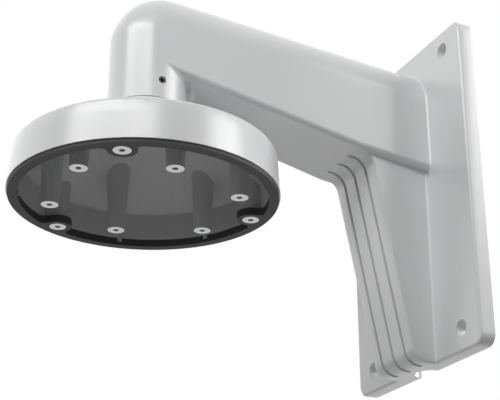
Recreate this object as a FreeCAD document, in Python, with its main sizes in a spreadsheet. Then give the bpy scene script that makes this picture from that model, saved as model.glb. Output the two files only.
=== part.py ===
import FreeCAD, Part
import math
import os
import re

import Sketcher
from FreeCAD import Vector

# Camera wall bracket, in millimetres. The wall is the plane y = 0 and the bracket stands out from it
# towards -y, with x to the right and z up. The origin is the middle of the plate's back face.

SIZES = {
    # wall plate
    "plate_width": 120,
    "plate_height": 183,
    "plate_depth": 8.3,
    "plate_corner": 6,
    "plate_edge": 1,
    "plate_skin": 3.6,
    "plate_rim": 4,
    "bolt_across": 87.2,
    "bolt_up": 159,
    "bolt_bore": 8.8,
    "bolt_column": 18,
    # arm, an arch in section, from the plate to the neck
    "reach": 162.8,
    "arm_root_half": 26.3,
    "arm_root_centre": 54,
    "arm_end_centre": 73,
    "neck_radius": 21,
    "neck_bend": 7.5,
    "neck_end": 27.2,
    "underside_root": 14.8,
    "underside_knee": 21,
    "underside_end": 44.2,
    "knee": 50,
    "arm_edge": 2.8,
    "casting_wall": 4,
    "root_round": 1.5,
    "neck_round": 4,
    "core_tip_radius": 10,
    "core_tip_rise": 18.5,
    # gusset below the arm
    "gusset_foot": 20.8,
    "gusset_lean": 10.8,
    "gusset_foot_half": 19.5,
    "gusset_draft": 0.8,
    "gusset_foot_round": 8.5,
    "gusset_throat": 9.5,
    "gusset_edge": 1,
    "flute_width": 2.3,
    "flute_depth": 1.8,
    "flute_pitch": 11.5,
    "flute_start": 12,
    "notch_radius": 8,
    # set screw in the side of the neck
    "screw_radius": 1.8,
    "screw_level": 37,
    "screw_length": 3.6,
    "screw_socket": 2,
    "screw_socket_depth": 1.8,
    # mounting cap, with its own origin in the middle of the rim's face
    "cap_rim_radius": 68.3,
    "cap_rim_width": 5.7,
    "cap_taper": 1.4,
    "cap_side": 20.9,
    "cap_edge": 1,
    "cap_height": 45.5,
    "cap_shoulder_radius": 27,
    "ceiling_taper": 1.1,
    "ceiling_edge": 16.5,
    "ceiling_top_radius": 33.5,
    "ceiling_top": 37,
    "hub_radius": 20.3,
    "hub_step": 2.6,
    "nipple_length": 19,
    "nipple_wall": 3.7,
    "boss_tip": 4.4,
    "boss_draft": 2.9,
    "boss_bore": 3,
    "boss_bore_depth": 16,
    "ear_inset": 9.6,
    "side_circle": 48,
    "near_circle": 42.5,
    "web_width": 10,
    "pin_radius": 1.25,
    "pin_reach": 0.8,
    "pin_angle": 38,
    # gasket on the cap's rim and seal under the neck
    "gasket_lip": 2,
    "gasket_skirt": 2,
    "gasket_skirt_wall": 2,
    "gasket_inset": 0.7,
    "gasket_ear": 7.2,
    "gasket_ear_round": 3,
    "seal_thickness": 1.2,
    "seal_inset": 0.9,
    # gap between curved faces that face each other
    "clearance": 0.2,
}

EAR_ANGLES = (90, 210, 330)
SIDE_ANGLES = (60, 120, 240, 300)
NEAR_ANGLES = (0, 180)

document = FreeCAD.newDocument("camera_wall_bracket")
sheet = document.addObject("Spreadsheet::Sheet", "sizes")
for row, (size_name, size_value) in enumerate(SIZES.items(), start=1):
    sheet.set(f"A{row}", size_name)
    sheet.set(f"B{row}", str(size_value))
    sheet.setAlias(f"B{row}", size_name)
document.recompute()

SIZE_WORDS = re.compile(r"\b(" + "|".join(SIZES) + r")\b")


# A formula names sizes plainly: each becomes a reference to its cell.
def formula(text):
    return SIZE_WORDS.sub(r"sizes.\1", text)


def value(text):
    result = sheet.evalExpression(formula(text))
    return float(getattr(result, "Value", result))


# Sketches

def new_sketch(body, name, role, lift="0", shift="0"):
    plane = next(part for part in body.Origin.OriginFeatures if part.Role == role)
    sketch = body.newObject("Sketcher::SketchObject", name)
    sketch.AttachmentSupport = [(plane, "")]
    sketch.MapMode = "FlatFace"
    sketch.setExpression("AttachmentOffset.Base.z", formula(lift))
    sketch.setExpression("AttachmentOffset.Base.y", formula(shift))
    return sketch


def constrain(sketch, text, kind, *geometry):
    index = sketch.addConstraint(Sketcher.Constraint(kind, *geometry, value(text)))
    sketch.setExpression(f"Constraints[{index}]", formula(text))


def place(sketch, geometry, point, across, along):
    constrain(sketch, across, "DistanceX", -1, 1, geometry, point)
    constrain(sketch, along, "DistanceY", -1, 1, geometry, point)


def circle(sketch, across, along, radius):
    centre = Vector(value(across), value(along), 0)
    ring = sketch.addGeometry(Part.Circle(centre, Vector(0, 0, 1), value(radius)))
    constrain(sketch, radius, "Radius", ring)
    place(sketch, ring, 3, across, along)


def arc_between(centre, start, end):
    first = start - centre
    last = end - centre
    ring = Part.Circle(centre, Vector(0, 0, 1), first.Length)
    return Part.ArcOfCircle(ring, math.atan2(first.y, first.x), math.atan2(last.y, last.x))


# The arc that rounds a corner between two straight edges, with its two ends along the outline.
def corner_arc(before, corner, after, radius):
    back = (before - corner).normalize()
    ahead = (after - corner).normalize()
    half_angle = back.getAngle(ahead) / 2
    start = corner + back * (radius / math.tan(half_angle))
    end = corner + ahead * (radius / math.tan(half_angle))
    centre = corner + (back + ahead).normalize() * (radius / math.sin(half_angle))
    turns_left = ahead.cross(back).z > 0
    return start, end, centre, turns_left


# A closed outline. A corner is (x, y), or (x, y, rounding), or (x, y, centre x, centre y) where an arc
# runs anticlockwise from it to the next corner.
def outline(sketch, corners):
    points = [Vector(value(corner[0]), value(corner[1]), 0) for corner in corners]
    count = len(points)
    roundings = {}
    for index, corner in enumerate(corners):
        if len(corner) == 3:
            roundings[index] = corner_arc(points[index - 1], points[index], points[(index + 1) % count],
                                          value(corner[2]))
    edges = []
    for index, corner in enumerate(corners):
        following = (index + 1) % count
        start = roundings[index][1] if index in roundings else points[index]
        end = roundings[following][0] if following in roundings else points[following]
        if len(corner) == 4:
            centre = Vector(value(corner[2]), value(corner[3]), 0)
            edges.append(sketch.addGeometry(arc_between(centre, start, end)))
        else:
            edges.append(sketch.addGeometry(Part.LineSegment(start, end)))
    for index, corner in enumerate(corners):
        arriving = edges[index - 1]
        leaving = edges[index]
        if index in roundings:
            start, end, centre, turns_left = roundings[index]
            if turns_left:
                arc = sketch.addGeometry(arc_between(centre, start, end))
                first, last = 1, 2
            else:
                arc = sketch.addGeometry(arc_between(centre, end, start))
                first, last = 2, 1
            sketch.addConstraint(Sketcher.Constraint("Tangent", arriving, 2, arc, first))
            sketch.addConstraint(Sketcher.Constraint("Tangent", arc, last, leaving, 1))
            constrain(sketch, corner[2], "Radius", arc)
            sharp = sketch.addGeometry(Part.Point(points[index]), True)
            sketch.addConstraint(Sketcher.Constraint("PointOnObject", sharp, 1, arriving))
            sketch.addConstraint(Sketcher.Constraint("PointOnObject", sharp, 1, leaving))
            place(sketch, sharp, 1, corner[0], corner[1])
        else:
            sketch.addConstraint(Sketcher.Constraint("Coincident", arriving, 2, leaving, 1))
            place(sketch, leaving, 1, corner[0], corner[1])
        if len(corner) == 4:
            chord = points[(index + 1) % count] - points[index]
            if abs(chord.x) > abs(chord.y):
                constrain(sketch, corner[3], "DistanceY", -1, 1, leaving, 3)
            else:
                constrain(sketch, corner[2], "DistanceX", -1, 1, leaving, 3)


# Features

def new_body(name, *place_texts):
    body = document.addObject("PartDesign::Body", name)
    body.Label = name
    for axis, text in zip("xyz", place_texts):
        body.setExpression(f"Placement.Base.{axis}", formula(text))
    return body


# A feature made from a sketch. Lengths and angles are formulas.
def form(body, kind, name, profile, lengths=None, **settings):
    feature = body.newObject("PartDesign::" + kind, name)
    feature.Profile = profile
    for key, setting in settings.items():
        setattr(feature, key, setting)
    for key, text in (lengths or {}).items():
        feature.setExpression(key, formula(text))
    document.recompute()
    return feature


def loft(body, kind, name, sections):
    return form(body, kind, name, sections[0], Sections=sections[1:], Ruled=True)


# A fillet or a chamfer along the edges that are chosen.
def finish_edges(body, kind, name, size, chosen):
    document.recompute()
    base = body.Tip
    names = [f"Edge{index}" for index, edge in enumerate(base.Shape.Edges, start=1) if chosen(edge)]
    feature = body.newObject("PartDesign::" + kind, name)
    feature.Base = (base, names)
    feature.setExpression("Radius" if kind == "Fillet" else "Size", formula(size))
    document.recompute()


def middle(edge):
    return edge.valueAt((edge.FirstParameter + edge.LastParameter) / 2)


# Whether an edge lies wholly in the plane where one coordinate has the given level.
def in_plane(edge, axis, level):
    points = [vertex.Point for vertex in edge.Vertexes] + [middle(edge)]
    return all(abs(getattr(point, axis) - level) < 0.01 for point in points)


# Wall arm: plate, arm, elbow, neck and gusset in one hollow casting

wall_arm = new_body("wall_arm")

plate_outline = new_sketch(wall_arm, "PlateOutline", "XZ_Plane")
outline(plate_outline, [
    ("-plate_width / 2", "-plate_height / 2", "plate_corner"),
    ("plate_width / 2", "-plate_height / 2", "plate_corner"),
    ("plate_width / 2", "plate_height / 2", "plate_corner"),
    ("-plate_width / 2", "plate_height / 2", "plate_corner"),
])
form(wall_arm, "Pad", "Plate", plate_outline, {"Length": "plate_depth"})
finish_edges(wall_arm, "Chamfer", "PlateEdge", "plate_edge",
             lambda edge: in_plane(edge, "y", -value("plate_depth")))

# The back of the plate is hollow, with a rim round it and a column round each bolt.
INNER_HALF_WIDTH = "plate_width / 2 - plate_rim"
INNER_HALF_HEIGHT = "plate_height / 2 - plate_rim"
back_outline = new_sketch(wall_arm, "BackOutline", "XZ_Plane")
outline(back_outline, [
    (f"-({INNER_HALF_WIDTH})", f"-({INNER_HALF_HEIGHT})", "plate_corner - plate_rim / 2"),
    (INNER_HALF_WIDTH, f"-({INNER_HALF_HEIGHT})", "plate_corner - plate_rim / 2"),
    (INNER_HALF_WIDTH, INNER_HALF_HEIGHT, "plate_corner - plate_rim / 2"),
    (f"-({INNER_HALF_WIDTH})", INNER_HALF_HEIGHT, "plate_corner - plate_rim / 2"),
])
form(wall_arm, "Pocket", "BackHollow", back_outline, {"Length": "plate_depth - plate_skin"}, Reversed=True)


def at_each_bolt(sketch, radius):
    for across in ("-bolt_across / 2", "bolt_across / 2"):
        for along in ("-bolt_up / 2", "bolt_up / 2"):
            circle(sketch, across, along, radius)


column_outlines = new_sketch(wall_arm, "ColumnOutlines", "XZ_Plane")
at_each_bolt(column_outlines, "bolt_column / 2")
form(wall_arm, "Pad", "BoltColumns", column_outlines, {"Length": "plate_depth - plate_skin / 2"})


# One section of the arm, or of its hollow, at a distance from the wall.
def arch(name, distance, half_width, centre, floor, edge_round):
    sketch = new_sketch(wall_arm, name, "XZ_Plane", distance)
    outline(sketch, [
        (f"-({half_width})", floor, edge_round),
        (half_width, floor, edge_round),
        (half_width, centre, "0", centre),
        (f"-({half_width})", centre),
    ])
    return sketch


# The arm narrows and rises evenly from the wall to the start of the bend. Its underside turns upward
# at the knee. A hollow lies one wall inside the outer faces.
BEND_START = "(reach - neck_bend)"
MIDWAY = f"((knee + {BEND_START}) / 2)"
ELBOW_LEVEL = "(arm_end_centre - neck_bend)"
ARM_SECTIONS = (
    ("Root", "0", "underside_root"),
    ("Knee", "knee", "underside_knee"),
    ("Middle", MIDWAY, "(underside_knee + underside_end) / 2"),
    ("End", BEND_START, "underside_end"),
)


def arm(kind, name, inset, edge_round):
    sections = []
    for place_name, distance, floor in ARM_SECTIONS:
        share = f"{distance} / {BEND_START}"
        half_width = f"arm_root_half + (neck_radius - arm_root_half) * {share} - {inset}"
        centre = f"(arm_root_centre + (arm_end_centre - arm_root_centre) * {share})"
        sections.append(arch(name + place_name, distance, half_width, centre, f"{floor} + {inset}", edge_round))
    loft(wall_arm, kind, name, sections)


arm("AdditiveLoft", "Arm", "0", "arm_edge")

# Below the bend the arm runs on, with upright sides, to the axis of the neck.
UNDERSIDE_SLOPE = f"((underside_end - underside_knee) / ({BEND_START} - knee))"
toe_sections = []
for end_name, distance, rise in (("Start", BEND_START, "0"), ("End", "reach", f"neck_bend * {UNDERSIDE_SLOPE}")):
    toe_section = new_sketch(wall_arm, "Toe" + end_name, "XZ_Plane", distance)
    outline(toe_section, [
        ("-neck_radius", f"underside_end + {rise}", "arm_edge"),
        ("neck_radius", f"underside_end + {rise}", "arm_edge"),
        ("neck_radius", ELBOW_LEVEL),
        ("-neck_radius", ELBOW_LEVEL),
    ])
    toe_sections.append(toe_section)
loft(wall_arm, "AdditiveLoft", "Toe", toe_sections)

# The elbow turns the top half of the section, here three arcs, down through a quarter turn.
ARC_ACROSS = "neck_radius * cos(60)"
ARC_UP = "neck_bend + neck_radius * sin(60)"
elbow_section = new_sketch(wall_arm, "ElbowSection", "XZ_Plane", BEND_START, ELBOW_LEVEL)
outline(elbow_section, [
    ("-neck_radius", "0"),
    ("neck_radius", "0"),
    ("neck_radius", "neck_bend", "0", "neck_bend"),
    (ARC_ACROSS, ARC_UP, "0", "neck_bend"),
    (f"-{ARC_ACROSS}", ARC_UP, "0", "neck_bend"),
    ("-neck_radius", "neck_bend"),
])
form(wall_arm, "Revolution", "Elbow", elbow_section, {"Angle": "90"}, ReferenceAxis=(elbow_section, ["H_Axis"]))

# A small fillet runs round the arm and the gusset where they stand on the plate.
def at_root(edge):
    point = middle(edge)
    in_front = in_plane(edge, "y", -value("plate_depth"))
    return in_front and point.z < value("bolt_up / 2 + bolt_bore / 2") and abs(point.x) < value("arm_root_half")


finish_edges(wall_arm, "Fillet", "ArmRootFillet", "root_round", at_root)

neck_outline = new_sketch(wall_arm, "NeckOutline", "XY_Plane", ELBOW_LEVEL)
circle(neck_outline, "0", "-reach", "neck_radius")
form(wall_arm, "Pad", "Neck", neck_outline, {"Length": f"{ELBOW_LEVEL} - neck_end"}, Reversed=True)


# The neck runs into the underside with a larger fillet, which starts from the edge nearest the wall.
def under_neck(edge):
    point = middle(edge)
    on_neck = abs(math.hypot(point.x, point.y + value("reach")) - value("neck_radius")) < 0.05
    return on_neck and abs(point.x) < value("arm_edge") and value("neck_end") < point.z < value(ELBOW_LEVEL)


finish_edges(wall_arm, "Fillet", "NeckFillet", "neck_round", under_neck)


# The gusset's side outline has a leaning front, a round foot and a concave throat under the arm. Its top
# lies just inside the arm, so that the throat runs into the underside.
FOOT_LEVEL = "(-plate_height / 2)"
LEAN = "tan(gusset_lean)"
KNEE_SLOPE = "((underside_knee - underside_root) / knee)"
THROAT_OUT = f"((gusset_foot + (underside_root - {FOOT_LEVEL}) * {LEAN}) / (1 - {KNEE_SLOPE} * {LEAN}))"
THROAT_LEVEL = f"(underside_root + {KNEE_SLOPE} * {THROAT_OUT})"
THROAT_SINK = 0.03
gusset = new_body("gusset_casting")
gusset_outline = new_sketch(gusset, "GussetOutline", "YZ_Plane")
outline(gusset_outline, [
    ("-plate_skin", FOOT_LEVEL),
    ("-plate_skin", "arm_root_centre"),
    ("-knee", "arm_root_centre"),
    ("-knee", f"underside_knee + {THROAT_SINK}"),
    (f"-{THROAT_OUT}", f"{THROAT_LEVEL} + {THROAT_SINK}", "gusset_throat"),
    ("-gusset_foot", FOOT_LEVEL, "gusset_foot_round"),
])
TOP_HALF = f"(gusset_foot_half + (arm_root_centre - {FOOT_LEVEL}) * tan(gusset_draft))"
form(gusset, "Pad", "Gusset", gusset_outline, {"Length": f"2 * {TOP_HALF}"}, SideType="Symmetric")

# It stands on a strip of the plate's front face.
strip_outline = new_sketch(gusset, "StripOutline", "XZ_Plane", "plate_skin")
outline(strip_outline, [
    (f"-({TOP_HALF} + plate_rim)", f"{FOOT_LEVEL} + plate_edge"),
    (f"{TOP_HALF} + plate_rim", f"{FOOT_LEVEL} + plate_edge"),
    (f"{TOP_HALF} + plate_rim", "arm_root_centre"),
    (f"-({TOP_HALF} + plate_rim)", "arm_root_centre"),
])
form(gusset, "Pad", "GussetStrip", strip_outline, {"Length": "plate_depth - plate_skin"})

# Its sides draw in towards the foot.
side_outlines = new_sketch(gusset, "GussetSides", "XZ_Plane", "plate_depth")
outline(side_outlines, [
    ("gusset_foot_half", FOOT_LEVEL),
    (f"{TOP_HALF} + plate_rim", FOOT_LEVEL),
    (f"{TOP_HALF} + plate_rim", "arm_root_centre"),
    (TOP_HALF, "arm_root_centre"),
])
outline(side_outlines, [
    ("-gusset_foot_half", FOOT_LEVEL),
    (f"-{TOP_HALF}", "arm_root_centre"),
    (f"-({TOP_HALF} + plate_rim)", "arm_root_centre"),
    (f"-({TOP_HALF} + plate_rim)", FOOT_LEVEL),
])
form(gusset, "Pocket", "GussetDraft", side_outlines, {"Length": "reach"}, Reversed=True)


finish_edges(gusset, "Fillet", "GussetRoot", "root_round",
             lambda edge: at_root(edge) and abs(middle(edge).x) < value(TOP_HALF) and edge.Length > value("knee"))


def on_gusset_corner(edge):
    point = middle(edge)
    half = value(f"gusset_foot_half + ({point.z} - {FOOT_LEVEL}) * tan(gusset_draft)")
    level = -value("plate_depth")
    return abs(abs(point.x) - half) < 0.05 and point.y < level and edge.Length > value("arm_root_centre")


finish_edges(gusset, "Chamfer", "GussetEdges", "gusset_edge", on_gusset_corner)

gusset_join = wall_arm.newObject("PartDesign::Boolean", "GussetJoin")
gusset_join.setObjects([gusset])
document.recompute()

# Two straight cores make the hollow. One enters from the wall and runs on level to the neck's axis, and the
# other enters through the neck's mouth and has a conical tip in the elbow.
arm("SubtractiveLoft", "ArmHollow", "casting_wall", "arm_edge / 2")
elbow_hollow = arch("ElbowHollowOutline", BEND_START, "neck_radius - casting_wall", "arm_end_centre",
                    "underside_end + casting_wall", "arm_edge / 2")
form(wall_arm, "Pocket", "ElbowHollow", elbow_hollow, {"Length": "neck_bend"}, Reversed=True)

NECK_BORE = "(neck_radius - casting_wall)"
CORE_TIP = f"({ELBOW_LEVEL} + core_tip_rise)"
core_outline = new_sketch(wall_arm, "NeckCoreOutline", "XZ_Plane", "reach")
outline(core_outline, [
    ("0", "neck_end"),
    (NECK_BORE, "neck_end"),
    (NECK_BORE, ELBOW_LEVEL),
    ("core_tip_radius", CORE_TIP),
    ("0", CORE_TIP),
])
form(wall_arm, "Groove", "NeckCore", core_outline, {"Angle": "360"}, ReferenceAxis=(core_outline, ["V_Axis"]))

hollow_outline = new_sketch(wall_arm, "GussetHollowOutline", "YZ_Plane")
outline(hollow_outline, [
    ("0", f"{FOOT_LEVEL} + casting_wall"),
    ("0", "arm_root_centre"),
    (f"-({THROAT_OUT} - casting_wall)", "arm_root_centre"),
    (f"-({THROAT_OUT} - casting_wall)", THROAT_LEVEL),
    ("-(gusset_foot - casting_wall)", f"{FOOT_LEVEL} + casting_wall", "gusset_foot_round - casting_wall"),
])
form(wall_arm, "Pocket", "GussetHollow", hollow_outline,
     {"Length": "2 * (gusset_foot_half - casting_wall)"}, SideType="Symmetric")

bolt_outlines = new_sketch(wall_arm, "BoltOutlines", "XZ_Plane")
at_each_bolt(bolt_outlines, "bolt_bore / 2")
form(wall_arm, "Pocket", "BoltHoles", bolt_outlines, Type="ThroughAll", Reversed=True)

# Three flutes run up the gusset's front, round its foot and through the throat into the underside.
FOOT_IN = f"({FOOT_LEVEL} + flute_depth)"
FLUTE_OUT = "(flute_depth / cos(gusset_lean))"


def flute_outline(name, lift):
    sketch = new_sketch(wall_arm, name, "YZ_Plane", lift)
    outline(sketch, [
        ("-flute_start", f"{FOOT_LEVEL} - plate_edge"),
        ("-flute_start", FOOT_IN),
        (f"-(gusset_foot + flute_depth * {LEAN} - {FLUTE_OUT})", FOOT_IN, "gusset_foot_round - flute_depth"),
        (f"-({THROAT_OUT} + flute_depth * {LEAN} - {FLUTE_OUT})", f"{THROAT_LEVEL} + flute_depth",
         "gusset_throat + flute_depth"),
        (f"-({THROAT_OUT} + gusset_throat)", f"{THROAT_LEVEL} - flute_depth"),
        (f"-({THROAT_OUT} + gusset_throat)", f"{FOOT_LEVEL} - plate_edge"),
    ])
    return sketch


for flute_name, lift in (("FluteMiddle", "0"), ("FluteLeft", "-flute_pitch"), ("FluteRight", "flute_pitch")):
    form(wall_arm, "Pocket", flute_name, flute_outline(flute_name + "Outline", lift),
         {"Length": "flute_width"}, SideType="Symmetric")

# The cable leaves through a half-round notch in the foot, open at the wall.
notch_outline = new_sketch(wall_arm, "NotchOutline", "XY_Plane", FOOT_LEVEL)
outline(notch_outline, [
    ("-notch_radius", "0", "0", "0"),
    ("notch_radius", "0"),
])
form(wall_arm, "Pocket", "CableNotch", notch_outline, {"Length": "2 * casting_wall"}, Reversed=True)

screw_hole_outline = new_sketch(wall_arm, "ScrewHoleOutline", "YZ_Plane", "neck_radius - 2 * casting_wall")
circle(screw_hole_outline, "-reach", "screw_level", "screw_radius + clearance")
form(wall_arm, "Pocket", "ScrewHole", screw_hole_outline, {"Length": "3 * casting_wall"}, Reversed=True)

# Mounting cap: a round casting, open below, with a threaded nipple that screws into the neck

NIPPLE = f"({NECK_BORE} - clearance)"
CAP_LEVEL = "neck_end - seal_thickness - cap_height"
CAP_INNER = "(cap_rim_radius - cap_rim_width)"
SKIRT_SEAT = f"({CAP_INNER} + gasket_skirt_wall)"
EAR_CIRCLE = "(cap_rim_radius - ear_inset)"
WALL_LEAN = "(cap_taper / cap_side)"

mounting_cap = new_body("mounting_cap", "0", "-reach", CAP_LEVEL)
blank_outline = new_sketch(mounting_cap, "BlankOutline", "XZ_Plane")
outline(blank_outline, [
    ("0", "ceiling_top"),
    ("ceiling_top_radius", "ceiling_top"),
    (f"{CAP_INNER} - ceiling_taper", "ceiling_edge"),
    (CAP_INNER, "gasket_skirt"),
    (SKIRT_SEAT, "gasket_skirt"),
    (SKIRT_SEAT, "0"),
    ("cap_rim_radius", "0"),
    (f"cap_rim_radius - {WALL_LEAN} * cap_height", "cap_height"),
    ("0", "cap_height"),
])
form(mounting_cap, "Revolution", "Blank", blank_outline, {"Angle": "360"},
     ReferenceAxis=(blank_outline, ["V_Axis"]))


# A place on a circle round the cap's axis.
def on_circle(radius, angle):
    return f"({radius}) * cos({angle})", f"({radius}) * sin({angle})"


# The same place after a turn about the cap's axis.
def turned(across, along, angle):
    return (f"({across}) * cos({angle}) - ({along}) * sin({angle})",
            f"({across}) * sin({angle}) + ({along}) * cos({angle})")


def at_each_boss(sketch, radius):
    for circle_radius, angles in ((EAR_CIRCLE, EAR_ANGLES), ("side_circle", SIDE_ANGLES),
                                  ("near_circle", NEAR_ANGLES)):
        for angle in angles:
            circle(sketch, *on_circle(circle_radius, angle), radius)


# Nine bosses hang from the roof, wider towards it and level with the face of the gasket.
boss_outlines = new_sketch(mounting_cap, "BossOutlines", "XY_Plane", "-gasket_lip")
at_each_boss(boss_outlines, "boss_tip")
form(mounting_cap, "Pad", "Bosses", boss_outlines,
     {"Length": "gasket_lip + cap_height - hub_step", "TaperAngle": "boss_draft"})

# A web joins each outer boss to the wall, and two ribs beside it guide the gasket.
web_outlines = new_sketch(mounting_cap, "WebOutlines", "XY_Plane", "gasket_skirt")
for angle in EAR_ANGLES:
    outline(web_outlines, [
        turned(EAR_CIRCLE, "-web_width / 2", angle),
        turned(SKIRT_SEAT, "-web_width / 2", angle),
        turned(SKIRT_SEAT, "web_width / 2", angle),
        turned(EAR_CIRCLE, "web_width / 2", angle),
    ])
form(mounting_cap, "Pad", "Webs", web_outlines, {"Length": "cap_height - hub_step - gasket_skirt"})

PIN_CIRCLE = f"{CAP_INNER} - pin_reach + pin_radius"
PIN_ANGLES = [f"{angle} {side} pin_angle" for angle in EAR_ANGLES for side in "+-"]
pin_outlines = new_sketch(mounting_cap, "RibOutlines", "XY_Plane")
for angle in PIN_ANGLES:
    circle(pin_outlines, *on_circle(PIN_CIRCLE, angle), "pin_radius")
form(mounting_cap, "Pad", "Ribs", pin_outlines, {"Length": "ceiling_edge"})

# The roof is a cone up to a flat shoulder, with a raised hub under the neck.
ROOF_SLOPE = "((cap_height - hub_step - cap_side) / (cap_rim_radius - cap_taper - cap_shoulder_radius))"
roof_outline = new_sketch(mounting_cap, "RoofOutline", "XZ_Plane")
outline(roof_outline, [
    ("hub_radius", "cap_height + cap_edge"),
    ("hub_radius", "cap_height - hub_step"),
    ("cap_shoulder_radius", "cap_height - hub_step"),
    ("cap_rim_radius + cap_edge", f"cap_side - {ROOF_SLOPE} * (cap_taper + cap_edge)"),
    ("cap_rim_radius + cap_edge", "cap_height + cap_edge"),
])
form(mounting_cap, "Groove", "Roof", roof_outline, {"Angle": "360"}, ReferenceAxis=(roof_outline, ["V_Axis"]))
finish_edges(mounting_cap, "Chamfer", "CapEdge", "cap_edge",
             lambda edge: in_plane(edge, "z", value("cap_side")) and edge.Length > value("6 * cap_rim_radius - 6 * cap_edge"))

nipple_outline = new_sketch(mounting_cap, "NippleOutline", "XY_Plane", "cap_height - hub_step")
circle(nipple_outline, "0", "0", NIPPLE)
form(mounting_cap, "Pad", "Nipple", nipple_outline, {"Length": "hub_step + nipple_length"})

cable_bore_outline = new_sketch(mounting_cap, "CableBoreOutline", "XY_Plane", "ceiling_edge")
circle(cable_bore_outline, "0", "0", f"{NIPPLE} - nipple_wall")
form(mounting_cap, "Pocket", "CableBore", cable_bore_outline, Type="ThroughAll", Reversed=True)

boss_bore_outlines = new_sketch(mounting_cap, "BossBoreOutlines", "XY_Plane", "-gasket_lip")
at_each_boss(boss_bore_outlines, "boss_bore / 2")
form(mounting_cap, "Pocket", "BossBores", boss_bore_outlines, {"Length": "boss_bore_depth"}, Reversed=True)

# Cap gasket: a lip under the rim, a skirt inside it and an ear round each outer boss

SKIRT_OUTER = f"({SKIRT_SEAT} - clearance)"
cap_gasket = new_body("cap_gasket", "0", "-reach", f"{CAP_LEVEL} - gasket_lip")
ring_outline = new_sketch(cap_gasket, "RingOutline", "XZ_Plane")
outline(ring_outline, [
    (CAP_INNER, "0"),
    ("cap_rim_radius - gasket_inset", "0"),
    ("cap_rim_radius - gasket_inset", "gasket_lip"),
    (SKIRT_OUTER, "gasket_lip"),
    (SKIRT_OUTER, "gasket_lip + gasket_skirt"),
    (CAP_INNER, "gasket_lip + gasket_skirt"),
])
form(cap_gasket, "Revolution", "Ring", ring_outline, {"Angle": "360"}, ReferenceAxis=(ring_outline, ["V_Axis"]))

ear_outlines = new_sketch(cap_gasket, "EarOutlines", "XY_Plane")
for angle in EAR_ANGLES:
    circle(ear_outlines, *on_circle(EAR_CIRCLE, angle), "gasket_ear")
form(cap_gasket, "Pad", "Ears", ear_outlines, {"Length": "gasket_lip + gasket_skirt"})


def beside_ear(edge):
    ends = [vertex.Point for vertex in edge.Vertexes]
    upright = len(ends) == 2 and math.hypot(ends[0].x - ends[1].x, ends[0].y - ends[1].y) < 0.01
    return upright and abs(math.hypot(ends[0].x, ends[0].y) - value(CAP_INNER)) < 0.01


finish_edges(cap_gasket, "Fillet", "EarFillets", "gasket_ear_round", beside_ear)

seat_outline = new_sketch(cap_gasket, "SeatOutline", "XZ_Plane")
outline(seat_outline, [
    (SKIRT_OUTER, "gasket_lip"),
    ("cap_rim_radius", "gasket_lip"),
    ("cap_rim_radius", "2 * gasket_lip + gasket_skirt"),
    (SKIRT_OUTER, "2 * gasket_lip + gasket_skirt"),
])
form(cap_gasket, "Groove", "Seat", seat_outline, {"Angle": "360"}, ReferenceAxis=(seat_outline, ["V_Axis"]))

ear_bores = new_sketch(cap_gasket, "EarBoreOutlines", "XY_Plane")
for angle in EAR_ANGLES:
    circle(ear_bores, *on_circle(EAR_CIRCLE, angle),
           "boss_tip + (gasket_lip + gasket_skirt) * tan(boss_draft) + clearance")
form(cap_gasket, "Pocket", "EarBores", ear_bores, Type="ThroughAll", Reversed=True)

rib_notches = new_sketch(cap_gasket, "RibNotchOutlines", "XY_Plane", "gasket_lip")
for angle in PIN_ANGLES:
    circle(rib_notches, *on_circle(PIN_CIRCLE, angle), "pin_radius + clearance")
form(cap_gasket, "Pocket", "RibNotches", rib_notches, {"Length": "2 * gasket_skirt"}, Reversed=True)

# Neck seal: a flat ring between the neck's mouth and the hub

neck_seal = new_body("neck_seal", "0", "-reach", "neck_end - seal_thickness")
seal_outline = new_sketch(neck_seal, "SealOutline", "XY_Plane")
circle(seal_outline, "0", "0", "neck_radius - seal_inset")
circle(seal_outline, "0", "0", NECK_BORE)
form(neck_seal, "Pad", "Seal", seal_outline, {"Length": "seal_thickness"})

# Set screw: a short screw with a hexagon socket, in the side of the neck, against the nipple

set_screw = new_body("set_screw", f"{NIPPLE} + clearance", "-reach", "screw_level")
screw_outline = new_sketch(set_screw, "ScrewOutline", "YZ_Plane")
circle(screw_outline, "0", "0", "screw_radius")
form(set_screw, "Pad", "Screw", screw_outline, {"Length": "screw_length"})

socket_outline = new_sketch(set_screw, "SocketOutline", "YZ_Plane", "screw_length - screw_socket_depth")
outline(socket_outline, [on_circle("screw_socket / sqrt(3)", 60 * corner) for corner in range(6)])
form(set_screw, "Pocket", "Socket", socket_outline, {"Length": "screw_socket_depth"}, Reversed=True)

failures = []
for item in document.Objects:
    if "Invalid" in item.State or "Error" in item.State:
        failures.append(item.Name)
bodies = [wall_arm, mounting_cap, cap_gasket, neck_seal, set_screw]
for body in bodies:
    if body.Shape.isNull() or not body.Shape.isValid():
        failures.append(body.Label)
if failures:
    raise RuntimeError("failed: " + ", ".join(failures))

os.makedirs("parts", exist_ok=True)
for body in bodies:
    body.Shape.exportStep(f"parts/{body.Label}.step")
    print(body.Label, round(body.Shape.Volume), body.Shape.BoundBox)
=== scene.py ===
# A camera wall bracket: a white powder-coated casting on a wall plate, with a round cap below its neck.
import math

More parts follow.
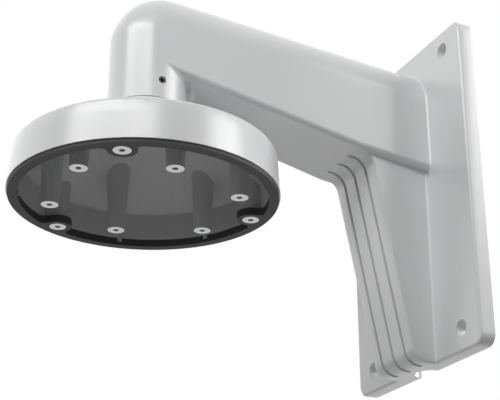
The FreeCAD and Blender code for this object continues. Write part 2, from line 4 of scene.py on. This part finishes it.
import bmesh
import bpy
import numpy as np
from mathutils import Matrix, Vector


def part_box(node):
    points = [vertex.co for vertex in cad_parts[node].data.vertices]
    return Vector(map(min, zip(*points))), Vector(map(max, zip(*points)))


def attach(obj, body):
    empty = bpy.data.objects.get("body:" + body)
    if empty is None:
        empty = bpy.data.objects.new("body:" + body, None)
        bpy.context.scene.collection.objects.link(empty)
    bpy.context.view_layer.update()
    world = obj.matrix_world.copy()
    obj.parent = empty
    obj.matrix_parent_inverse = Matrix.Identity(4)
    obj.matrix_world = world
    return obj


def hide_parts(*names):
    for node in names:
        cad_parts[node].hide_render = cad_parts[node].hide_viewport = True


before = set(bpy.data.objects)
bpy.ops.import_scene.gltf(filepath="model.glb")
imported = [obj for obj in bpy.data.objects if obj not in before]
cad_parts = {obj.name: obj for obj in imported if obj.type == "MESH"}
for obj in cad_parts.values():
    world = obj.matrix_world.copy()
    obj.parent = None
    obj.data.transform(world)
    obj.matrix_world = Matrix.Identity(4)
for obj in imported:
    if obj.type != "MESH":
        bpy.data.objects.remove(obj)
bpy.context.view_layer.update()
scene = bpy.context.scene
millimetre = 0.001
print("frame loaded:", ", ".join(sorted(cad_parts)))


# Camera, placed from the photograph's perspective.
cameraSettings = {
    "place": (0.53385, -0.35114, -0.26484),
    "azimuth": 65.2,            # degrees round from straight in front
    "elevation": -23.41,
    "lens": 88.51,
    "sensor": 36.0,
    "nearest": 0.01,
    "farthest": 20.0,
}


def makeCamera(settings):
    data = bpy.data.cameras.new("camera")
    data.lens = settings["lens"]
    data.sensor_width = settings["sensor"]
    data.clip_start = settings["nearest"]
    data.clip_end = settings["farthest"]
    camera = bpy.data.objects.new("camera", data)
    scene.collection.objects.link(camera)
    turn = math.radians(settings["azimuth"])
    rise = math.radians(settings["elevation"])
    camera.location = settings["place"]
    camera.rotation_euler = (math.pi / 2 - rise, 0.0, turn)
    scene.camera = camera


makeCamera(cameraSettings)
scene.view_settings.view_transform = "Standard"
print("camera ready")


# Node trees: a signal is one socket, and arithmetic on signals adds Math nodes. An input is given by its
# name, or as i and its number.
class Signal:
    def __init__(self, tree, socket=None):
        self.tree = tree
        self.socket = socket

    def node(self, kind, settings=None, output=0, **inputs):
        made = self.tree.nodes.new(kind)
        for name, setting in (settings or {}).items():
            setattr(made, name, setting)
        for name, given in inputs.items():
            target = made.inputs[int(name[1:]) if name[1:].isdigit() else name]
            if isinstance(given, Signal):
                self.tree.links.new(given.socket, target)
            else:
                target.default_value = given
        return Signal(self.tree, made.outputs[output])

    def maths(self, operation, first, second):
        return self.node("ShaderNodeMath", {"operation": operation}, i0=first, i1=second)

    def __add__(self, other):
        return self.maths("ADD", self, other)

    def __radd__(self, other):
        return self.maths("ADD", other, self)

    def __sub__(self, other):
        return self.maths("SUBTRACT", self, other)

    def __rsub__(self, other):
        return self.maths("SUBTRACT", other, self)

    def __mul__(self, other):
        return self.maths("MULTIPLY", self, other)

    def __rmul__(self, other):
        return self.maths("MULTIPLY", other, self)

    def below(self, limit):
        return self.maths("LESS_THAN", self, limit)

    def least(self, other):
        return self.maths("MINIMUM", self, other)

    def root(self):
        return self.maths("SQRT", self, 0.0)

    def part(self, axis):
        return self.node("ShaderNodeSeparateXYZ", output="XYZ".index(axis), Vector=self)

    def noise(self, scale, detail):
        return self.node("ShaderNodeTexNoise", Vector=self, Scale=scale, Detail=detail)

    def bump(self, strength, distance):
        return self.node("ShaderNodeBump", Strength=strength, Distance=distance, Height=self)


def blend(factor, first, second):
    return factor.node("ShaderNodeMix", {"data_type": "RGBA"}, output=2, i0=factor, i6=first, i7=second)


def newMaterial(name, constants):
    material = bpy.data.materials.new(name)
    material.use_nodes = True
    tree = material.node_tree
    shader = tree.nodes["Principled BSDF"]
    for socket, setting in constants.items():
        shader.inputs[socket].default_value = setting
    return material, Signal(tree), shader


def feed(signal, shader, socket):
    signal.tree.links.new(signal.socket, shader.inputs[socket])


def objectPlace(start):
    return start.node("ShaderNodeTexCoord", output="Object")


# White powder coat: a satin skin with a very fine orange peel and faint clouding.
coatSettings = {
    "ior": 1.5,
    "pale": (0.80, 0.805, 0.81, 1.0),
    "shade": (0.765, 0.77, 0.778, 1.0),
    "roughness": 0.31,
    "roughnessSpread": 0.08,
    "sheenWeight": 1.0,         # the smooth top of the powder coat
    "sheenRoughness": 0.28,
    "cloudScale": 22.0,
    "cloudDetail": 3.0,
    "peelScale": 900.0,
    "peelDetail": 2.0,
    "peelStrength": 0.05,
    "peelDistance": 0.0002,
}


# The coat's colour, roughness and orange peel at a place.
def powderCoat(place, settings):
    cloud = place.noise(settings["cloudScale"], settings["cloudDetail"])
    peel = place.noise(settings["peelScale"], settings["peelDetail"])
    spread = settings["roughnessSpread"]
    roughness = cloud * spread + (settings["roughness"] - spread / 2)
    return blend(cloud, settings["pale"], settings["shade"]), roughness, peel


def coatMaterial(name, settings):
    constants = {"IOR": settings["ior"], "Coat Weight": settings["sheenWeight"],
                 "Coat Roughness": settings["sheenRoughness"]}
    material, start, shader = newMaterial(name, constants)
    colour, roughness, peel = powderCoat(objectPlace(start), settings)
    feed(colour, shader, "Base Color")
    feed(roughness, shader, "Roughness")
    feed(peel.bump(settings["peelStrength"], settings["peelDistance"]), shader, "Normal")
    return material


# The cap is coated outside. Its inside gets painted shade, a darker grey for the shade in its hollow, with a
# duller, grainier finish, and its boss ends are machined bare.
capInsideSettings = {
    "wallRadius": 0.0655,       # outside this radius everything is coated
    "wallLevel": 0.0205,        # levels above the cap's lowest point, between the roof and the ceiling
    "hubRadius": 0.0300,
    "hubLevel": 0.0425,
    # painted shade: the darker greys that stand for the shade inside the cap
    "paintedShadeGrey": (0.60, 0.602, 0.61, 1.0),
    "paintedShadeGreyDark": (0.52, 0.522, 0.53, 1.0),
    "bare": (0.72, 0.72, 0.73, 1.0),
    "faceDepth": 0.00012,       # how far the machining reaches up from the boss ends
    "grainScale": 420.0,
    "grainDetail": 4.0,
    "roughness": 0.5,
}


def capMaterial(name, coat, inside, capBox):
    constants = {"IOR": coat["ior"], "Coat Roughness": coat["sheenRoughness"]}
    material, start, shader = newMaterial(name, constants)
    place = objectPlace(start)
    skin, satin, peel = powderCoat(place, coat)
    grain = place.noise(inside["grainScale"], inside["grainDetail"])
    low, high = capBox
    across = place.part("X") - (low[0] + high[0]) / 2
    along = place.part("Y") - (low[1] + high[1]) / 2
    level = place.part("Z") - low[2]
    radius = (across * across + along * along).root()
    # A cone half-way between the roof and the ceiling divides the coated outside from the inside, which gets
    # the painted shade.
    slope = (inside["hubLevel"] - inside["wallLevel"]) / (inside["wallRadius"] - inside["hubRadius"])
    divide = ((inside["wallRadius"] - radius) * slope + inside["wallLevel"]).least(inside["hubLevel"])
    # Painted shade: inside the wall and below the cone, the colour turns a darker grey for the shade in the
    # cap's hollow.
    paintedShadeArea = radius.below(inside["wallRadius"]) * level.below(divide)
    bare = level.below(inside["faceDepth"])
    paintedShadeGrey = blend(grain, inside["paintedShadeGrey"], inside["paintedShadeGreyDark"])
    relief = peel + grain * paintedShadeArea
    feed(blend(bare, blend(paintedShadeArea, skin, paintedShadeGrey), inside["bare"]), shader, "Base Color")
    feed(satin + paintedShadeArea * (inside["roughness"] - coat["roughness"]), shader, "Roughness")
    feed(bare, shader, "Metallic")
    feed((1.0 - paintedShadeArea) * (1.0 - bare) * coat["sheenWeight"], shader, "Coat Weight")
    feed(relief.bump(coat["peelStrength"], coat["peelDistance"]), shader, "Normal")
    return material


rubberSettings = {
    "ior": 1.5,
    "colour": (0.018, 0.018, 0.019, 1.0),
    "bloom": (0.035, 0.035, 0.036, 1.0),
    "roughness": 0.55,
    "roughnessSpread": 0.15,
    "grainScale": 600.0,
    "grainDetail": 3.0,
    "grainStrength": 0.2,
    "grainDistance": 0.0001,
}


def rubberMaterial(name, settings):
    material, start, shader = newMaterial(name, {"IOR": settings["ior"]})
    grain = objectPlace(start).noise(settings["grainScale"], settings["grainDetail"])
    feed(blend(grain, settings["colour"], settings["bloom"]), shader, "Base Color")
    feed(grain * settings["roughnessSpread"] + settings["roughness"], shader, "Roughness")
    feed(grain.bump(settings["grainStrength"], settings["grainDistance"]), shader, "Normal")
    return material


steelSettings = {
    "colour": (0.06, 0.06, 0.062, 1.0),
    "worn": (0.12, 0.12, 0.122, 1.0),
    "roughness": 0.35,
    "roughnessSpread": 0.2,
    "grainScale": 900.0,
    "grainDetail": 2.0,
}


def steelMaterial(name, settings):
    material, start, shader = newMaterial(name, {"Metallic": 1.0})
    grain = objectPlace(start).noise(settings["grainScale"], settings["grainDetail"])
    feed(blend(grain, settings["colour"], settings["worn"]), shader, "Base Color")
    feed(grain * settings["roughnessSpread"] + settings["roughness"], shader, "Roughness")
    return material


armCoat = coatMaterial("armCoat", coatSettings)
capCoat = capMaterial("capCoat", coatSettings, capInsideSettings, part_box("mounting_cap"))
gasketRubber = rubberMaterial("gasketRubber", rubberSettings)
sealRubber = rubberMaterial("sealRubber", rubberSettings)
screwSteel = steelMaterial("screwSteel", steelSettings)
print("materials ready")


# Makes the changes in turn to a mesh's skin, and writes it to a mesh.
def rework(source, target, *changes):
    skin = bmesh.new()
    skin.from_mesh(source)
    for change in changes:
        change(skin)
    skin.to_mesh(target)
    skin.free()


mergeDistance = 2e-6


def mergeCorners(skin):
    bmesh.ops.remove_doubles(skin, verts=skin.verts, dist=mergeDistance)


def faceOutward(skin):
    bmesh.ops.recalc_face_normals(skin, faces=skin.faces)


# Smooth everywhere except along the edges that turn by this angle or more.
def smoothBelow(angle):
    limit = math.radians(angle)

    def change(skin):
        for edge in skin.edges:
            edge.smooth = edge.calc_face_angle(0.0) < limit
        for face in skin.faces:
            face.smooth = True
            face.material_index = 0

    return change


# Flutes through the throat: each follows the front face, the throat's arc and the underside, where it fades.
fluteSettings = {
    "across": (-11.5, 0.0, 11.5),       # millimetres, as the rest here
    "width": 2.28,
    "depth": 1.79,
    "throatCentre": (50.108, 11.472),   # out from the wall, and up
    "throatRadius": 9.5,
    "frontLean": 10.8,                  # degrees
    "undersideRise": 7.07,
    "frontRun": 5.0,                    # length along the front face, in the flutes that are there already
    "fadeRun": 4.0,                     # length along the underside
    "fadeShare": 0.75,                  # share of the depth where the underside begins
    "fadeEnd": -0.2,                    # depth at the end, where the floor has left the metal
    "clear": 1.0,                       # how far the cutter stands out of the metal
    "arcSteps": 12,
}


# Stations along the flute: a straight run, an arc and a straight run. A station is a point on the surface,
# the way out of the metal there, and the depth. On the arc, point = centre + radius * (cos angle, sin angle).
def flutePath(settings):
    centre, radius = np.array(settings["throatCentre"]), settings["throatRadius"]
    lean, rise = math.radians(settings["frontLean"]), math.radians(settings["undersideRise"])
    angles = np.linspace(math.pi - lean, math.pi / 2 + rise, settings["arcSteps"])
    inward = np.stack([np.cos(angles), np.sin(angles)], axis=1)
    arc = centre + radius * inward
    before = arc[0] - settings["frontRun"] * np.array([math.sin(lean), math.cos(lean)])
    after = arc[-1] + settings["fadeRun"] * np.array([math.cos(rise), math.sin(rise)])
    points = np.vstack([before, arc, after])
    outward = -np.vstack([inward[0], inward, inward[-1]])
    depth = np.full(len(points), settings["depth"])
    depth[-1] = settings["fadeEnd"]
    depth[-2] *= settings["fadeShare"]
    return points, outward, depth


def makeFluteCutter(settings):
    points, outward, depth = flutePath(settings)
    floor, top = points - outward * depth[:, None], points + outward * settings["clear"]
    count = len(points)
    vertices, faces = [], []
    for number, across in enumerate(settings["across"]):
        left, right = across - settings["width"] / 2, across + settings["width"] / 2
        corners = [(left, floor), (right, floor), (right, top), (left, top)]
        lines = [np.column_stack([np.full(count, x), -line[:, 0], line[:, 1]]) for x, line in corners]
        vertices.append(np.stack(lines, axis=1).reshape(-1, 3))
        size = count * len(corners)
        index = np.arange(size).reshape(count, len(corners)) + number * size
        turned = np.roll(index, -1, axis=1)
        faces += np.stack([index[:-1], turned[:-1], turned[1:], index[1:]], axis=2).reshape(-1, 4).tolist()
        faces += [index[0].tolist(), index[-1].tolist()]
    mesh = bpy.data.meshes.new("fluteCutter")
    mesh.from_pydata((np.concatenate(vertices) * millimetre).tolist(), [], faces)
    rework(mesh, mesh, faceOutward)
    cutter = bpy.data.objects.new("fluteCutter", mesh)
    scene.collection.objects.link(cutter)
    return cutter


def cutFlutes(piece, settings):
    cutter = makeFluteCutter(settings)
    cut = piece.modifiers.new("flutes", "BOOLEAN")
    cut.operation = "DIFFERENCE"
    cut.solver = "EXACT"
    cut.object = cutter
    bpy.context.view_layer.update()
    shaped = piece.evaluated_get(bpy.context.evaluated_depsgraph_get())
    mesh = bpy.data.meshes.new_from_object(shaped)
    piece.modifiers.clear()
    piece.data = mesh
    bpy.data.objects.remove(cutter)
    print("flutes cut:", len(mesh.polygons), "faces")


# A dressed piece: the node's triangles merged into one skin, smooth except along its real edges.
pieceSettings = {
    "armCasting": {"node": "wall_arm", "material": armCoat, "slot": "arm_paint", "edgeAngle": 50.0,
                   "flutes": fluteSettings},
    "capCasting": {"node": "mounting_cap", "material": capCoat, "slot": "cap_paint", "edgeAngle": 42.0},
    "rimGasket": {"node": "cap_gasket", "material": gasketRubber, "slot": "gasket_rubber", "edgeAngle": 40.0},
    "neckSeal": {"node": "neck_seal", "material": sealRubber, "slot": "seal_rubber", "edgeAngle": 40.0},
    "setScrew": {"node": "set_screw", "material": screwSteel, "slot": "screw_steel", "edgeAngle": 40.0},
}


def dressPiece(name, settings):
    mesh = bpy.data.meshes.new(name)
    rework(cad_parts[settings["node"]].data, mesh, mergeCorners)
    if "custom_normal" in mesh.attributes:
        mesh.attributes.remove(mesh.attributes["custom_normal"])
    piece = bpy.data.objects.new(name, mesh)
    scene.collection.objects.link(piece)
    if "flutes" in settings:
        cutFlutes(piece, settings["flutes"])
    mesh = piece.data
    mesh.materials.clear()
    mesh.materials.append(settings["material"])
    rework(mesh, mesh, smoothBelow(settings["edgeAngle"]))
    weighted = piece.modifiers.new("weighted normals", "WEIGHTED_NORMAL")
    weighted.keep_sharp = True
    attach(piece, "root")
    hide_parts(settings["node"])


for pieceName, pieceSetting in pieceSettings.items():
    dressPiece(pieceName, pieceSetting)
print("castings dressed")


# Fillets inside the cap: at the root of each slim boss and where the wall meets the ceiling.
filletSettings = {
    "material": capCoat,
    "slot": "cap_paint",
    "edgeAngle": 40.0,
    "bossCircles": {48.0: (60, 120, 240, 300), 42.5: (0, 180)},   # radius in millimetres, as the rest here
    "bossTip": 4.4,             # boss radius at its end
    "bossDraft": 2.9,           # degrees
    "bossFillet": 1.0,
    "ceilingRadius": 61.5,      # where the ceiling's cone starts, and its level above the boss ends
    "ceilingLevel": 18.5,
    "ceilingTopRadius": 33.5,
    "ceilingTopLevel": 39.0,
    "wallFillet": 0.9,
    "bite": 0.5,                # how far the back of a fillet reaches into the metal
    "turnSteps": 64,
    "arcSteps": 7,
}


# level = wall level + rise * (wall radius - radius) / run, flat beyond the top radius
def ceilingLevel(radius, settings):
    run = settings["ceilingRadius"] - settings["ceilingTopRadius"]
    rise = settings["ceilingTopLevel"] - settings["ceilingLevel"]
    return settings["ceilingLevel"] + rise * np.clip((settings["ceilingRadius"] - radius) / run, 0.0, 1.0)


# Closed rings: points[turn, step, xyz] joined to their neighbours both ways round.
def ringMesh(name, rings, edgeAngle):
    vertices, faces = [], []
    for points in rings:
        turns, steps = points.shape[:2]
        base = sum(len(part) for part in vertices)
        index = np.arange(turns * steps).reshape(turns, steps) + base
        right = np.roll(index, -1, axis=0)
        quads = np.stack([index, np.roll(index, -1, axis=1), np.roll(right, -1, axis=1), right], axis=2)
        vertices.append(points.reshape(-1, 3))
        faces.append(quads.reshape(-1, 4))
    mesh = bpy.data.meshes.new(name)
    mesh.from_pydata((np.concatenate(vertices) * millimetre).tolist(), [], np.concatenate(faces).tolist())
    rework(mesh, mesh, faceOutward, smoothBelow(edgeAngle))
    return mesh


# Hollow curve from start to end: (1 - t)^2 start + 2 t (1 - t) corner + t^2 end, then round the back.
def filletSection(start, corner, end, backs, steps):
    t = np.linspace(0.0, 1.0, steps)[None, :, None]
    curve = (1 - t) ** 2 * start[:, None] + 2 * t * (1 - t) * corner[:, None] + t ** 2 * end[:, None]
    return np.concatenate([curve] + [back[:, None] for back in backs], axis=1)


def makeCapFillets(settings, capBox):
    low, high = np.array(capBox[0]) / millimetre, np.array(capBox[1]) / millimetre
    axis = (low + high) / 2
    turn = np.linspace(0.0, 2 * np.pi, settings["turnSteps"], endpoint=False)
    away = np.stack([np.cos(turn), np.sin(turn)], axis=1)
    rings = []

    def spot(centre, reach, drop):
        place = centre + away * reach
        level = ceilingLevel(np.hypot(place[:, 0], place[:, 1]), settings) - drop
        return np.column_stack([place[:, 0] + axis[0], place[:, 1] + axis[1], level + low[2]])

    # A fillet round a wall at a radius: side is 1 where the ceiling lies outside the wall, and -1 inside it.
    def fillet(centre, radius, size, slope, side):
        bite = settings["bite"]
        foot, back = radius + side * size, radius - side * bite
        backs = [spot(centre, foot, -bite), spot(centre, back, -bite), spot(centre, back, size)]
        return filletSection(spot(centre, radius - slope * size, size), spot(centre, radius, 0.0),
                             spot(centre, foot, 0.0), backs, settings["arcSteps"])

    slope = math.tan(math.radians(settings["bossDraft"]))
    for circle, angles in settings["bossCircles"].items():
        radius = settings["bossTip"] + slope * float(ceilingLevel(np.array(circle), settings))
        for degrees in angles:
            centre = circle * np.array([math.cos(math.radians(degrees)), math.sin(math.radians(degrees))])
            rings.append(fillet(centre, radius, settings["bossFillet"], slope, 1))
    rings.append(fillet(np.zeros(2), settings["ceilingRadius"], settings["wallFillet"], 0.0, -1))
    piece = bpy.data.objects.new("capFillets", ringMesh("capFillets", rings, settings["edgeAngle"]))
    piece.data.materials.append(settings["material"])
    scene.collection.objects.link(piece)
    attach(piece, "root")


makeCapFillets(filletSettings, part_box("mounting_cap"))
print("fillets added")


# A pale floor well below the bracket, and a surround that is white only for the camera and reflections.
stageSettings = {
    "white": (1.0, 1.0, 1.0, 1.0),
    "floorLevel": -1.1,
    "floorHalf": 9.0,
    "floorColour": (0.80, 0.80, 0.80, 1.0),
    "floorRoughness": 0.8,
    "floorWhite": 0.80,         # share of plain white that the camera and reflections see in the floor
    "surround": 0.02,
    "seenSurround": 1.0,
}


# 1 for rays from the camera and for reflections, 0 for the light that falls on the object.
def seenDirectly(start):
    camera = start.node("ShaderNodeLightPath", output="Is Camera Ray")
    glossy = Signal(start.tree, camera.socket.node.outputs["Is Glossy Ray"])
    return camera.maths("MAXIMUM", camera, glossy)


def makeFloor(settings):
    half = settings["floorHalf"]
    corners = [(-half, -half), (half, -half), (half, half), (-half, half)]
    mesh = bpy.data.meshes.new("floor")
    mesh.from_pydata([(x, y, settings["floorLevel"]) for x, y in corners], [], [(0, 1, 2, 3)])
    floor = bpy.data.objects.new("floor", mesh)
    scene.collection.objects.link(floor)
    constants = {"Base Color": settings["floorColour"], "Roughness": settings["floorRoughness"]}
    material, start, shader = newMaterial("floorPaint", constants)
    white = start.node("ShaderNodeEmission", Color=settings["white"], Strength=1.0)
    paint = Signal(start.tree, shader.outputs[0])
    output = start.tree.nodes["Material Output"]
    share = seenDirectly(start) * settings["floorWhite"]
    mixed = start.node("ShaderNodeMixShader", i0=share, i1=paint, i2=white)
    start.tree.links.new(mixed.socket, output.inputs["Surface"])
    mesh.materials.append(material)


def makeWorld(settings):
    world = bpy.data.worlds.new("surround")
    scene.world = world
    world.use_nodes = True
    tree = world.node_tree
    tree.nodes.clear()
    start = Signal(tree)
    light = start.node("ShaderNodeBackground", Color=settings["white"], Strength=settings["surround"])
    white = start.node("ShaderNodeBackground", Color=settings["white"], Strength=settings["seenSurround"])
    mixed = start.node("ShaderNodeMixShader", i0=seenDirectly(start), i1=light, i2=white)
    output = tree.nodes.new("ShaderNodeOutputWorld")
    tree.links.new(mixed.socket, output.inputs["Surface"])


# Soft boxes, aimed at the object: azimuth and elevation in degrees, wide and tall in metres, power in watts.
lampDistance = 1.3
lampTarget = Vector((0.0, -0.11, 0.0))
lampSettings = {
    "backBox": {"azimuth": 166.0, "elevation": 10.0, "wide": 0.36, "tall": 0.40, "power": 6.5},
    "keyBox": {"azimuth": 40.0, "elevation": 38.0, "wide": 1.50, "tall": 0.34, "power": 10.8},
    "sideBox": {"azimuth": 138.0, "elevation": 29.0, "wide": 0.60, "tall": 0.45, "power": 4.6},
    "farBox": {"azimuth": -64.0, "elevation": 22.0, "wide": 2.00, "tall": 1.60, "power": 3.0},
    "frontBox": {"azimuth": -4.0, "elevation": -2.0, "wide": 0.34, "tall": 0.50, "power": 1.1},
}


def makeLamp(name, settings):
    data = bpy.data.lights.new(name, "AREA")
    data.shape = "RECTANGLE"
    data.size = settings["wide"]
    data.size_y = settings["tall"]
    data.energy = settings["power"]
    turn = math.radians(settings["azimuth"])
    rise = math.radians(settings["elevation"])
    outward = Vector((math.sin(turn) * math.cos(rise), -math.cos(turn) * math.cos(rise), math.sin(rise)))
    lamp = bpy.data.objects.new(name, data)
    lamp.location = lampTarget + outward * lampDistance
    lamp.rotation_euler = outward.to_track_quat("Z", "Y").to_euler()
    scene.collection.objects.link(lamp)


makeFloor(stageSettings)
makeWorld(stageSettings)
for lampName, lampSetting in lampSettings.items():
    makeLamp(lampName, lampSetting)
print("stage and light ready")
